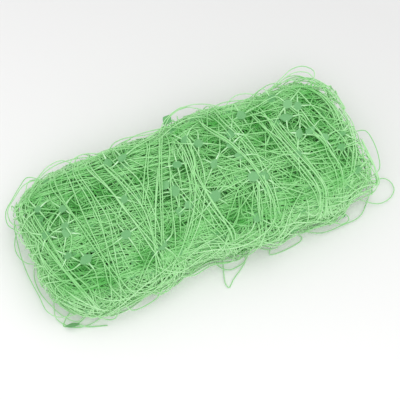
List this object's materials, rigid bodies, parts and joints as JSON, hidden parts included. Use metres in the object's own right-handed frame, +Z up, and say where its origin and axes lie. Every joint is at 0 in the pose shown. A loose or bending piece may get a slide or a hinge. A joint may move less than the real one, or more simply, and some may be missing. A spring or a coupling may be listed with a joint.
{
  "type": "folded plant support netting",
  "caption": "Long green plastic trellis net for climbing plants, gathered across its width and folded back and forth into a flat oblong bundle.",
  "frame": {"origin": "middle of the whole bundle's length and width with its loose loops, on the plane it rests on", "axes": "+X along the bundle, the way its runs of net lie; +Y across it, away from the side with the most loose loops; +Z up"},
  "size_m": [0.3658, 0.173, 0.0585],
  "materials": {
    "net_plastic": "light green extruded polypropylene strands, smooth with a soft gloss and slightly see-through"
  },
  "bodies": {
    "root": {"net": "net_plastic"}
  },
  "joints": []
}
